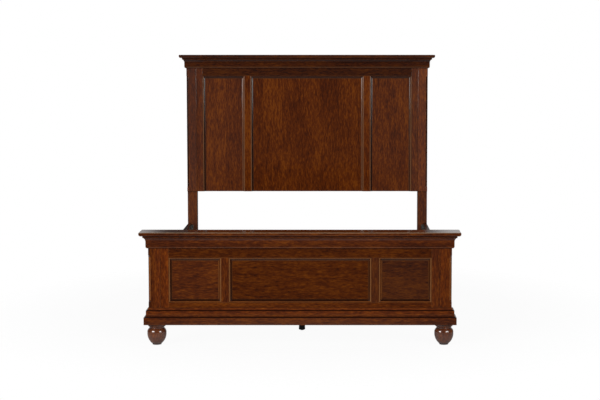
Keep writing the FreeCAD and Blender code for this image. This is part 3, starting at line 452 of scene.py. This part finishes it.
# How much darker an upright board is made along its outer edge; it fades away towards the inner one.
OUTER_DARKENING = {
    "footboard_post_left": 0.75, "footboard_post_right": 0.25,
    "footboard_stile_left": 0.39, "footboard_stile_right": 0.24, "headboard_stile_left": 0.38,
}


def own_place(tree):
    """The parts X, Y and Z of a point of the piece."""
    place = node(tree, "ShaderNodeTexCoord").outputs["Object"]
    return node(tree, "ShaderNodeSeparateXYZ", {0: place}).outputs


def outer_shade(tree, piece, x):
    """Darkening from nothing at the board's inner edge to its share at the outer edge, straight between."""
    low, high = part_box(piece)
    inner, outer = sorted((abs(low.x), abs(high.x)))
    return spread(tree, reckon(tree, "ABSOLUTE", x), inner, outer, 0.0, OUTER_DARKENING.get(piece, 0.0))


def joint_masks(tree, piece):
    """A thread of glaze along a board's two long joints, and its darkening towards the outer edge."""
    low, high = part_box(piece)
    x = own_place(tree)["X"]
    near = reckon(tree, "MINIMUM", reckon(tree, "SUBTRACT", x, low.x), reckon(tree, "SUBTRACT", high.x, x))
    thread = spread(tree, near, *JOINT_FADE, JOINT_GLAZE[piece.split("_")[0]], 0.0)
    return {"GlazeAndShade": reckon(tree, "MAXIMUM", thread, outer_shade(tree, piece, x))}


# This prints the darkening at the outer edges, board by board.
print("glaze at the outer edges:", OUTER_DARKENING)

# %% [markdown]
# ## The corner cuts
#
# A stopped cut runs down the outer corner of each post and pilaster.  Its flat is sunk, and it is painted
# light on the footboard, where the side lamps catch it, and painted shade on the headboard, where it faces
# the dark room.
# A point is on the flat when its two distances in from the corner's faces add up to the cut's
# depth, which is one sum and one band.

# %% Masks for the corner cuts
CUT_FLAT = 0.015       # metres: the corner cut's flat, as the sum of its distances in from side and front
CUT_SOFT = 0.0005
FACE_SKIN = 0.001      # metres under a face that don't count as part of the cut
# How strongly the cut's flat is painted: painted light on the footboard, painted shade on the headboard.
CUT_PAINTED_LIGHT, CUT_PAINTED_SHADE = 0.45, 0.8


def corner_masks(tree, piece):
    """The sunk flat of the corner cut, where the two distances in from the corner add up to 15 mm.

    It gets painted light on the footboard's posts, and painted shade on the headboard's pilasters.
    """
    xyz = own_place(tree)
    from_side = reckon(tree, "SUBTRACT", half_width, reckon(tree, "ABSOLUTE", xyz["X"]))
    from_front = reckon(tree, "SUBTRACT", xyz["Y"], fronts[piece.split("_")[0]])
    both = reckon(tree, "ADD", from_side, from_front)
    flat = band(tree, both, CUT_FLAT - CUT_SOFT, CUT_FLAT + CUT_SOFT, CUT_SOFT, 1.0)
    inside = reckon(tree, "GREATER_THAN", reckon(tree, "MINIMUM", from_side, from_front), FACE_SKIN)
    on_flat = reckon(tree, "MULTIPLY", flat, inside)
    if piece.startswith("headboard"):
        return {"GlazeAndShade": reckon(tree, "MULTIPLY", on_flat, CUT_PAINTED_SHADE)}
    off_flat = reckon(tree, "SUBTRACT", 1.0, on_flat)
    return {"GlazeAndShade": reckon(tree, "MULTIPLY", outer_shade(tree, piece, xyz["X"]), off_flat),
            "PaintedLight": reckon(tree, "MULTIPLY", on_flat, CUT_PAINTED_LIGHT)}


print("corner cuts:", len(nodes_named("footboard_post", "headboard_pilaster")))

# %% [markdown]
# ## The cap's painted highlight and the turned feet
#
# A painted highlight runs along the footboard cap's upper front edge.  The turned feet show growth rings as
# ovals, one within the next, because a lathe cuts through rings that stand upright in the wood.  Rings are
# circles around the heart of the tree, so the distance from an upright line behind the foot, put through a
# sine, draws them.

# %% Masks for the cap and the feet
# Where the painted highlight on the cap's front edge lies: below the top, where it begins and is whole;
# behind the front, where it fades and is gone.
HIGHLIGHT_BELOW = (0.003, 0.001)      # metres under the cap's top: where the wear begins, and is whole
HIGHLIGHT_BEHIND = (0.008, 0.014)     # metres behind the cap's front: where it begins to fade, and is gone
RING_SPACING = 0.0055      # metres from one ring to the next
RING_GLAZE = 0.16
HEART_BACK = 0.03      # metres from the foot's middle back to the heart of the tree


def cap_masks(tree, piece):
    """A painted highlight along the cap's upper front edge."""
    low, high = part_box(piece)
    xyz = own_place(tree)
    near_top = spread(tree, xyz["Z"], high.z - HIGHLIGHT_BELOW[0], high.z - HIGHLIGHT_BELOW[1])
    near_front = spread(tree, xyz["Y"], low.y + HIGHLIGHT_BEHIND[0], low.y + HIGHLIGHT_BEHIND[1], 1.0, 0.0)
    return {"PaintedLight": reckon(tree, "MULTIPLY", near_top, near_front)}


def ring_masks(tree, piece):
    """Growth rings: a turning cuts them into ovals, one within the next, on the front of the belly."""
    low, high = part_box(piece)
    heart = ((low.x + high.x) / 2, (low.y + high.y) / 2 + HEART_BACK, 0.0)
    xyz = own_place(tree)
    flat = node(tree, "ShaderNodeCombineXYZ", {"X": xyz["X"], "Y": xyz["Y"]}).outputs[0]
    off = node(tree, "ShaderNodeVectorMath", {0: flat, 1: heart}, operation="DISTANCE").outputs["Value"]
    wave = reckon(tree, "SINE", reckon(tree, "MULTIPLY", off, 2 * math.pi / RING_SPACING))
    return {"GlazeAndShade": spread(tree, wave, -1.0, 1.0, 0.0, RING_GLAZE)}


SPECIAL_MASKS = {
    "footboard_post": corner_masks, "headboard_pilaster": corner_masks, "headboard_stile": joint_masks,
    "footboard_stile": joint_masks, "footboard_cap": cap_masks, "bun_foot": ring_masks,
}
print("pieces with marks of their own:", len(nodes_named(*SPECIAL_MASKS)))

# %% [markdown]
# ## Finish the boards
#
# Every board and both turned feet now get their finish: the grain's way from the table above,
# and the marks if they have any.  One loop does it, so that no board is forgotten.

# %% Finish the boards
for grain, starts in BOARDS.items():
    for name in nodes_named(*starts):
        width = PANEL_BOARD if "_panel_" in name else WHOLE_BOARD
        masks = next((make for start, make in SPECIAL_MASKS.items() if name.startswith(start)), None)
        finish_node(name, cherry(
            name, lambda tree, way=grain: grain_place(tree, way),
            masks and (lambda tree, make=masks, piece=name: make(tree, piece)), width))


def count_finished():
    """How many CAD nodes have a cherry finish of their own by now."""
    return sum(made.name.removeprefix("cherry_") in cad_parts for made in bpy.data.materials)


print("boards finished:", count_finished())

# %% [markdown]
# ## Crowns and base mouldings
#
# A crown or a base moulding wraps the board in three lengths, so the grain turns at its mitres.
# Along its whole length it gets level lines: dark ones of painted shade, partly glaze, under the cap and in
# the quirks and coves, and on each crown a light one, a painted reflection on its round lower edge.  A line
# is three numbers: how far down from the moulding's top, half its height, and its strength.

# %% Finish the crowns and the base mouldings


def wrapped_place(tree, front):
    """Grain across the front length and along the two returns."""
    place = node(tree, "ShaderNodeTexCoord").outputs["Object"]
    on_return = use(tree, wrap_mitre, Place=place, Half_width=half_width, Front=front)["Return"]
    return mixed_places(tree, on_return, grain_place(tree, "x"), grain_place(tree, "y"))


def level_lines(tree, top, lines):
    """One mask for all the lines: the largest of their bands at the point's distance down from the top."""
    down = reckon(tree, "SUBTRACT", top, own_place(tree)["Z"])
    masks = []
    for middle, half, strength in lines:
        masks.append(band(tree, down, middle - half, middle + half, LINE_SOFT, strength))
    while len(masks) > 1:
        masks.append(reckon(tree, "MAXIMUM", masks.pop(), masks.pop()))
    return masks[0]


LINE_SOFT = 0.0015     # metres over which a line fades on both sides
# Dark lines are painted shade, partly glaze; the crowns' light lines are a painted reflection on the round
# lower edge.
LINES = {
    "headboard_crown": {
        "GlazeAndShade": ((0.002, 0.002, 0.5), (0.016, 0.003, 0.75), (0.026, 0.005, 0.3)),
        "PaintedLight": ((0.062, 0.003, 0.4),)},
    "footboard_crown": {
        "GlazeAndShade": ((0.002, 0.002, 0.5), (0.05, 0.009, 0.25)),
        "PaintedLight": ((0.065, 0.003, 0.12),)},
    "footboard_base_moulding": {"GlazeAndShade": ((0.0136, 0.0022, 0.95),)},
    "footboard_plinth": {"GlazeAndShade": ((0.012, 0.003, 0.95), (0.045, 0.01, 0.2))},
}
for name, lines in LINES.items():
    front = fronts[name.split("_")[0]]
    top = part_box(name)[1].z
    finish_node(name, cherry(
        name, lambda tree, y=front: wrapped_place(tree, y),
        lambda tree, z=top, both=lines: {key: level_lines(tree, z, rows) for key, rows in both.items()}))
print("mouldings finished:", list(LINES))

# %% [markdown]
# ## The ogee around each panel
#
# Each panel has a small ogee around it: a round crest at the opening's edge and a hollow beside it.  The
# headboard's has no length along the bottom, because its panels run down to the board's lower edge.  Crests
# get a painted highlight, and the headboard's top crest, under the crown, painted shade instead; hollows
# get painted shade, partly glaze.  This goes mostly by which way a length faces, so each mask takes four
# values: for the left, right, top and bottom length.

# %% Finish the ogees


def around_panel(tree, low, high, closed):
    """Which lengths of the moulding around a panel stand upright, and how far across it a point is."""
    place = node(tree, "ShaderNodeTexCoord").outputs["Object"]
    bottom = low.z if closed else low.z - 1.0
    return use(tree, frame_mitre, Place=place, Left=low.x, Right=high.x, Bottom=bottom, Top=high.z)


def framed_place(tree, low, high, closed):
    """Grain up the uprights and across the level lengths of the moulding around a panel."""
    upright = around_panel(tree, low, high, closed)["Upright"]
    return mixed_places(tree, upright, grain_place(tree, "x"), grain_place(tree, "z"))


def by_length(tree, where, left, right, top, bottom):
    """One of four values, by the length of moulding that a point is on."""
    upright = reckon(tree, "MULTIPLY_ADD", where["Right half"], right - left, left)
    level = reckon(tree, "MULTIPLY_ADD", where["Lower half"], bottom - top, top)
    rest = reckon(tree, "SUBTRACT", upright, level)
    return reckon(tree, "MULTIPLY_ADD", where["Upright"], rest, level)


def ogee_masks(tree, low, high, closed, hollow_shade_by_length, crest_light_by_length):
    """Painted highlight on the bead's crest, and painted shade, partly glaze, in the hollow beside it,
    length by length.

    A crest whose number is below nought gets that much painted shade instead.
    """
    where = around_panel(tree, low, high, closed)
    hollow = band(tree, where["Across"], *HOLLOW, 1.0)
    crest = band(tree, where["Across"], *CREST, 1.0)
    in_hollow = reckon(tree, "MULTIPLY", hollow, by_length(tree, where, *hollow_shade_by_length))
    on_crest = reckon(tree, "MULTIPLY", crest, by_length(tree, where, *crest_light_by_length))
    # A crest's number below nought gives painted shade instead of light.
    crest_shade = reckon(tree, "MULTIPLY", on_crest, -1.0)
    return {"GlazeAndShade": reckon(tree, "MAXIMUM", in_hollow, crest_shade), "PaintedLight": on_crest}


HOLLOW = (0.0085, 0.0165, 0.0015)      # metres across the moulding: from, to, and fading over
CREST = (0.002, 0.0065, 0.001)
# How much painted shade, partly glaze, each hollow gets on its left, right, top and bottom length.
HOLLOW_GLAZE_AND_SHADE = {
    "headboard_bead_left": (0.95, 0.05, 0.8, 0.0),
    "headboard_bead_centre": (0.95, 0.05, 0.8, 0.0),
    "headboard_bead_right": (0.95, 0.5, 0.8, 0.0),
    "footboard_bead_left": (0.8, 0.05, 0.65, 0.97),
    "footboard_bead_centre": (0.8, 0.6, 0.65, 0.97),
    "footboard_bead_right": (0.05, 0.6, 0.65, 0.97),
}
# How much painted highlight each crest gets on its left, right, top and bottom length; below nought,
# painted shade.
CREST_LIGHT_AND_SHADE = {"headboard": (0.85, 0.95, -0.7, 0.0), "footboard": (1.0, 1.0, 0.5, 0.3)}

for name in nodes_named("headboard_bead", "footboard_bead"):
    low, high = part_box(name)
    closed = name.startswith("footboard")
    finish_node(name, cherry(
        name, lambda tree, a=low, b=high, c=closed: framed_place(tree, a, b, c),
        lambda tree, a=low, b=high, c=closed, n=name: ogee_masks(
            tree, a, b, c, HOLLOW_GLAZE_AND_SHADE[n], CREST_LIGHT_AND_SHADE[n.split("_")[0]])))
print("cherry pieces in all:", count_finished())

# %% [markdown]
# ## The pieces out of sight
#
# Slats and ledges are planed softwood with no finish: pale, with yellow-brown growth lines
# and little shine.  The same figure group serves with other colours.  The centre legs are
# dipped in black lacquer, which fills the grain but leaves a trace of it.

# %% Softwood and black lacquer
PINE_DARK = (0.40, 0.235, 0.105)
PINE_MIDDLE = (0.58, 0.40, 0.21)
PINE_LIGHT = (0.70, 0.53, 0.32)
SAWN_EDGE = 0.001      # metres by which a saw cut's edge is broken
SAWN_DEPTH = 0.0003
SAWN_STRENGTH = 0.6
PINE_ROUGHNESS, PINE_FLECKS = 0.68, 0.3
BLACK_ROUGHNESS, BLACK_FLECKS = 0.35, 0.2


def plain_wood(name, grain, colours, roughness, flecks):
    """Wood with the figure of the boards and no glaze."""
    material = bpy.data.materials.new(name)
    material.use_nodes = True
    tree = material.node_tree
    shader = tree.nodes["Principled BSDF"]
    dark, middle, light = (toned(colour, 1.0) for colour in colours)
    wood = use(
        tree, figure, Place=grain_place(tree, grain), Flecks=flecks, Dark=dark, Middle=middle, Light=light)
    edge = node(tree, "ShaderNodeBevel", {"Radius": SAWN_EDGE}, samples=4).outputs[0]
    relief = node(
        tree, "ShaderNodeBump",
        {"Height": wood["Relief"], "Normal": edge, "Strength": SAWN_STRENGTH,
         "Distance": SAWN_DEPTH}).outputs[0]
    tree.links.new(wood["Colour"], shader.inputs["Base Color"])
    tree.links.new(relief, shader.inputs["Normal"])
    shader.inputs["Roughness"].default_value = roughness
    return material


pine = (PINE_DARK, PINE_MIDDLE, PINE_LIGHT)
for name in nodes_named("slat_ledge"):
    finish_node(name, plain_wood("pine_" + name, "y", pine, PINE_ROUGHNESS, PINE_FLECKS))
for step in (1, 2, 3):
    finish_node(
        f"slat_{step}", plain_wood(f"pine_slat_{step}", "x", pine, PINE_ROUGHNESS, PINE_FLECKS))

BLACKS = ((0.006, 0.006, 0.006), (0.010, 0.0095, 0.009), (0.016, 0.015, 0.014))
for name in nodes_named("centre_leg"):
    finish_node(name, plain_wood("black_" + name, "z", BLACKS, BLACK_ROUGHNESS, BLACK_FLECKS))
print("plain wood pieces:", len(nodes_named("slat_ledge", "centre_leg")) + 3)

# %% [markdown]
# ## Plastic and zinc
#
# The levelling pads are moulded in black plastic with a fine spark-eroded texture, so their
# shine breaks up.  Plates, screws, bolts and studs are steel with a zinc coat: a dull grey
# with faint clouds, brighter where it is rolled smooth.

# %% Moulded plastic and zinc plate
PITTING_SCALE = 1800.0           # pits to the metre
CLOUDING_SCALE = 90.0
ROLLING_SCALE = (1200.0, 30.0)
PIT_DEPTH = 0.0001               # metres
ROLL_DEPTH = 0.00005
PLASTIC_TINTS = ((0.008, 0.008, 0.008, 1), (0.018, 0.018, 0.018, 1))
PLASTIC_ROUGHNESS = (0.5, 0.62)
ZINC_TINTS = ((0.13, 0.134, 0.13, 1), (0.25, 0.25, 0.235, 1))
ZINC_ROUGHNESS = (0.32, 0.48)


def moulded_black():
    """Matt black plastic with the grain of the mould."""
    material = bpy.data.materials.new("black_plastic")
    material.use_nodes = True
    tree = material.node_tree
    shader = tree.nodes["Principled BSDF"]
    place = node(tree, "ShaderNodeTexCoord").outputs["Object"]
    pitting = noise(tree, stretched(tree, place, PITTING_SCALE, PITTING_SCALE), detail=2.0).outputs["Fac"]
    tint = blend_colours(tree, pitting, *PLASTIC_TINTS)
    relief = node(
        tree, "ShaderNodeBump", {"Height": pitting, "Strength": 0.4, "Distance": PIT_DEPTH}).outputs[0]
    tree.links.new(tint, shader.inputs["Base Color"])
    tree.links.new(spread(tree, pitting, *NOISE_RANGE, *PLASTIC_ROUGHNESS), shader.inputs["Roughness"])
    tree.links.new(relief, shader.inputs["Normal"])
    return material


def zinc_plate():
    """Zinc-coated steel: clouded grey with rolling marks."""
    material = bpy.data.materials.new("zinc_plate")
    material.use_nodes = True
    tree = material.node_tree
    shader = tree.nodes["Principled BSDF"]
    place = node(tree, "ShaderNodeTexCoord").outputs["Object"]
    clouds_at = stretched(tree, place, CLOUDING_SCALE, CLOUDING_SCALE)
    clouding = noise(tree, clouds_at, detail=3.0).outputs["Fac"]
    rolling = noise(tree, stretched(tree, place, *ROLLING_SCALE), detail=1.0).outputs["Fac"]
    tint = blend_colours(tree, clouding, *ZINC_TINTS)
    relief = node(
        tree, "ShaderNodeBump", {"Height": rolling, "Strength": 0.3, "Distance": ROLL_DEPTH}).outputs[0]
    tree.links.new(tint, shader.inputs["Base Color"])
    tree.links.new(spread(tree, clouding, *NOISE_RANGE, *ZINC_ROUGHNESS), shader.inputs["Roughness"])
    tree.links.new(relief, shader.inputs["Normal"])
    shader.inputs["Metallic"].default_value = 1.0
    return material


HARDWARE = (
    "hanger_bolts", "rail_hook_plates", "post_socket_plates", "plate_screws", "slat_screws", "leg_bolts",
    "levelling_stud")
plastic = moulded_black()
for name in nodes_named("levelling_pad"):
    finish_node(name, plastic)
zinc = zinc_plate()
for name in nodes_named(*HARDWARE):
    finish_node(name, zinc)
print("plastic pads:", len(nodes_named("levelling_pad")), "zinc pieces:", len(nodes_named(*HARDWARE)))

# %% [markdown]
# ## The studio
#
# The floor is a pale disc that keeps a soft shadow near the bed and fades away further out.
# The world is white to the camera.  Lacquer mirrors what stands around it.  Seen at a low
# angle, the two ends of the footboard's cap shine and its middle stays brown, so a mirror
# finds two pale screens behind the bed, one to each side with a gap between them.  The rest
# of the room is dim in a mirror, which keeps the brown deep.

# %% Floor and world
FLOOR_NEAR = 1.25       # metres from the bed's middle within which the floor is whole
FLOOR_EDGE = 2.1
FLOOR_PAINT = (0.6, 0.6, 0.6, 1)
FLOOR_LIFT = 0.95      # how far the floor is lifted to white for the camera
FLOOR_IN_MIRROR = 0.1
ROOM_FILL = 0.28       # soft light from all round
ROOM_SHEEN = 0.04      # what lacquer mirrors of the dim room
SCREEN_LEVEL = 0.7     # how bright the screens behind the bed are in a mirror
SCREENS_FROM = (0.6, 0.85)        # each pair: a part of the direction, where it fades in and is whole
LEFT_SCREEN = (-0.115, -0.135)
RIGHT_SCREEN = (0.06, 0.08)
SCREEN_FOOT = (0.0, 0.04)
SCREEN_TOP = (0.5, 0.3)
STEPS_ROUND = 96


def disc_mesh(name, radius, steps):
    """A flat ring of points: x = radius cos(a), y = radius sin(a), a in equal steps."""
    angle = np.arange(steps) * (2 * np.pi / steps)
    ring = np.stack([radius * np.cos(angle), radius * np.sin(angle), np.zeros(steps)], axis=1)
    mesh = bpy.data.meshes.new(name)
    mesh.from_pydata(ring.tolist(), [], [tuple(range(steps))])
    return mesh


def floor_material():
    """White where it is near, see-through further out."""
    material = bpy.data.materials.new("studio_floor")
    material.use_nodes = True
    tree = material.node_tree
    tree.nodes.clear()
    place = node(tree, "ShaderNodeTexCoord").outputs["Object"]
    distance = node(tree, "ShaderNodeVectorMath", {0: place}, operation="LENGTH").outputs["Value"]
    away = spread(tree, distance, FLOOR_NEAR, FLOOR_EDGE)
    ray = node(tree, "ShaderNodeLightPath").outputs
    mirrored = reckon(tree, "MAXIMUM", ray["Is Glossy Ray"], ray["Is Transmission Ray"])
    faint = reckon(tree, "MULTIPLY", mirrored, FLOOR_IN_MIRROR)
    seen = reckon(tree, "MAXIMUM", ray["Is Camera Ray"], faint)
    painted = node(tree, "ShaderNodeBsdfDiffuse", {"Color": FLOOR_PAINT}).outputs[0]
    white = node(tree, "ShaderNodeEmission", {"Color": (1, 1, 1, 1), "Strength": 1.0}).outputs[0]
    lift = reckon(tree, "MULTIPLY", seen, FLOOR_LIFT)
    lifted = node(tree, "ShaderNodeMixShader", {0: lift, 1: painted, 2: white}).outputs[0]
    gone = node(tree, "ShaderNodeBsdfTransparent").outputs[0]
    surface = node(tree, "ShaderNodeMixShader", {0: away, 1: lifted, 2: gone})
    node(tree, "ShaderNodeOutputMaterial", {"Surface": surface.outputs[0]})
    return material


floor_mesh = disc_mesh("floor", FLOOR_EDGE, STEPS_ROUND)
floor_mesh.materials.append(floor_material())
floor = bpy.data.objects.new("floor", floor_mesh)
bpy.context.scene.collection.objects.link(floor)

world = bpy.data.worlds.new("studio")
bpy.context.scene.world = world
world.use_nodes = True
sky = world.node_tree
sky.nodes.clear()
direction = node(sky, "ShaderNodeTexCoord").outputs["Generated"]
toward = node(sky, "ShaderNodeSeparateXYZ", {0: direction}).outputs
behind_bed = spread(sky, toward["Y"], *SCREENS_FROM)
left_screen = spread(sky, toward["X"], *LEFT_SCREEN)
right_screen = spread(sky, toward["X"], *RIGHT_SCREEN)
beside = reckon(sky, "MAXIMUM", left_screen, right_screen)
above_floor = spread(sky, toward["Z"], *SCREEN_FOOT)
below_top = spread(sky, toward["Z"], *SCREEN_TOP)
upright = reckon(sky, "MULTIPLY", above_floor, reckon(sky, "MULTIPLY", below_top, SCREEN_LEVEL))
backdrop = reckon(sky, "MULTIPLY", reckon(sky, "MULTIPLY", behind_bed, beside), upright)
ray = node(sky, "ShaderNodeLightPath").outputs
mirrored = reckon(sky, "MAXIMUM", ray["Is Glossy Ray"], ray["Is Transmission Ray"])
room = reckon(sky, "MULTIPLY_ADD", mirrored, ROOM_SHEEN - ROOM_FILL, ROOM_FILL)
in_mirror = reckon(sky, "MAXIMUM", room, reckon(sky, "MULTIPLY", mirrored, backdrop))
level = reckon(sky, "MAXIMUM", in_mirror, ray["Is Camera Ray"])
background = node(sky, "ShaderNodeBackground", {"Color": (1, 1, 1, 1), "Strength": level})
node(sky, "ShaderNodeOutputWorld", {"Surface": background.outputs[0]})
print("floor radius", FLOOR_EDGE, "room", ROOM_FILL, "screens", SCREEN_LEVEL)

# %% [markdown]
# ## Lamps
#
# Two softboxes, each over two metres wide, stand in front, left and right of the camera.  They
# show as two small windows on each bun foot, and the left one is the stronger: the side of
# each bead that faces left is the bright one.  A broad panel overhead is very weak and only
# lifts the tops.

# %% Softboxes


def softbox(name, place, target, width, height, power):
    """A soft rectangular lamp at a place, turned to face a target, that the camera can't see."""
    lamp = bpy.data.lights.new(name, "AREA")
    lamp.shape = "RECTANGLE"
    lamp.size = width
    lamp.size_y = height
    lamp.energy = power
    thing = bpy.data.objects.new(name, lamp)
    thing.location = place
    look_at(thing, target)
    thing.visible_camera = False
    bpy.context.scene.collection.objects.link(thing)
    return thing


def look_at(thing, target):
    """Turns a lamp or camera so that its -Z points at the target and its Y stays up."""
    gaze = [t - p for t, p in zip(target, thing.location)]
    flat = math.hypot(gaze[0], gaze[1])
    thing.rotation_euler = (math.atan2(flat, -gaze[2]), 0.0, math.atan2(-gaze[0], gaze[1]))


BED_MIDDLE = (0.0, -0.4, 0.6)
WINDOW = (2.4, 2.2)    # metres, width and height
PANEL = (3.2, 3.2)
softbox("softbox_left", (-3.7, -4.3, 2.1), BED_MIDDLE, *WINDOW, 175)
softbox("softbox_right", (3.3, -4.4, 2.0), BED_MIDDLE, *WINDOW, 125)
softbox("overhead", (0.0, 0.2, 4.2), BED_MIDDLE, *PANEL, 6)
print("lamps:", {lamp.name: lamp.energy for lamp in bpy.data.lights})

# %% [markdown]
# ## Camera
#
# The photographer stood eight metres off with a short telephoto lens, a little right of the
# bed's middle and about head height.  The print was cropped off centre and its uprights are
# straighter than an aimed camera leaves them, so the lens carries a small shift both ways.

# %% Camera
CAMERA_PLACE = (0.1856, -8.9158, 1.6262)
CAMERA_TARGET = (0.1834, 0.0, 0.8685)
LENS = 87.32
LENS_SHIFT = (-0.0565, -0.05)

lens = bpy.data.cameras.new("camera")
lens.lens = LENS
lens.shift_x, lens.shift_y = LENS_SHIFT
lens.sensor_width = 36.0
lens.clip_end = 100.0
camera = bpy.data.objects.new("camera", lens)
camera.location = CAMERA_PLACE
look_at(camera, CAMERA_TARGET)
bpy.context.scene.collection.objects.link(camera)
bpy.context.scene.camera = camera
bpy.context.scene.view_settings.view_transform = "Standard"
print("camera at", CAMERA_PLACE, "lens", LENS, "mm")
